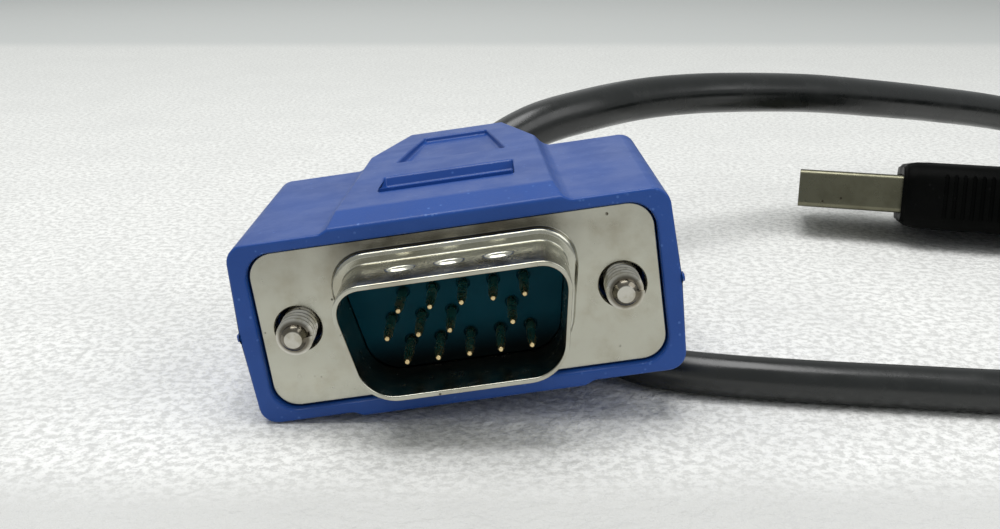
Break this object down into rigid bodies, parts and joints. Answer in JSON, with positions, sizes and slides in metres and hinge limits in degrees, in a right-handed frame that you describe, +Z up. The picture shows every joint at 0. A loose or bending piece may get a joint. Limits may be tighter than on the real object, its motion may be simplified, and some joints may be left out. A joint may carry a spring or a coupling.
{
  "type": "server interface cable module",
  "caption": "Video plug with captive jackscrews, a flat serial plug and an inline module with a network jack, joined by two leads.",
  "frame": {"origin": "centre of the D shell on the front face of the video plug's flange", "axes": "+Y into the video plug, away from its mating face; +Z up, as the plug lies on the surface; +X to the right of someone facing the pins"},
  "size_m": [0.1722, 0.0966, 0.0215],
  "materials": {
    "hood_blue": "moulded blue vinyl, fine matt grain",
    "nickel": "satin nickel plate, lightly stained",
    "insulator_teal": "dark teal thermoplastic",
    "gold": "flash gold plate",
    "tin": "tinned sheet",
    "core_vinyl": "core wire insulation",
    "white_mould": "natural polyethylene",
    "lead_jacket": "dark grey vinyl jacket, soft sheen",
    "screw_nickel": "nickel plated steel",
    "knob_black": "moulded black plastic",
    "grip_black": "moulded black vinyl",
    "serial_nickel": "dull nickel plate",
    "tongue_white": "white thermoplastic",
    "case_black": "textured moulded case plastic",
    "board_green": "solder-masked circuit board",
    "jack_black": "jack thermoplastic",
    "light_lens": "clear tinted lens",
    "chip_black": "chip moulding compound",
    "can_steel": "drawn steel can",
    "capacitor_sleeve": "shrink sleeve",
    "ferrite": "ferrite",
    "header_ivory": "nylon housing"
  },
  "bodies": {
    "root": {"vga_hood": "hood_blue", "vga_front_shell": "nickel", "vga_rear_shell": "nickel", "vga_insulator": "insulator_teal", "vga_pins": "gold", "vga_shield_can": "tin", "vga_core_wires": "core_vinyl", "vga_inner_mould": "white_mould", "main_cable_root": "lead_jacket", "usb_cable_root": "lead_jacket", "main_cable": "lead_jacket", "usb_cable": "lead_jacket", "usb_shell": "serial_nickel", "usb_tongue": "tongue_white", "usb_contacts": "gold", "usb_overmould": "grip_black", "usb_relief": "grip_black", "usb_wires": "lead_jacket", "module_base": "case_black", "module_lid": "case_black", "module_board": "board_green", "network_jack": "jack_black", "network_jack_shield": "tin", "network_contacts": "gold", "network_lights": "light_lens", "cable_grommet": "grip_black", "module_cable_root": "lead_jacket", "board_header": "header_ivory", "main_chip": "chip_black", "video_chip": "chip_black", "crystal": "can_steel", "capacitors": "capacitor_sleeve", "inductors": "ferrite", "case_screws": "screw_nickel"},
    "left_ring": {"left_retaining_ring": "screw_nickel"},
    "left_screw": {"left_jackscrew": "screw_nickel", "left_thumb_knob": "knob_black"},
    "right_ring": {"right_retaining_ring": "screw_nickel"},
    "right_screw": {"right_jackscrew": "screw_nickel", "right_thumb_knob": "knob_black"}
  },
  "joints": [
    {"name": "left_screw_slide", "type": "slide", "parent": "root", "child": "left_ring", "axis": [0, 1, 0], "range_m": [0, 0.003]},
    {"name": "left_screw_turn", "type": "hinge", "parent": "left_ring", "child": "left_screw", "pos_m": [-0.01237, 0, -0.00178], "axis": [0, 1, 0], "continuous": true},
    {"name": "right_screw_slide", "type": "slide", "parent": "root", "child": "right_ring", "axis": [0, 1, 0], "range_m": [0, 0.003]},
    {"name": "right_screw_turn", "type": "hinge", "parent": "right_ring", "child": "right_screw", "pos_m": [0.01237, 0, 0.00178], "axis": [0, 1, 0], "continuous": true}
  ]
}
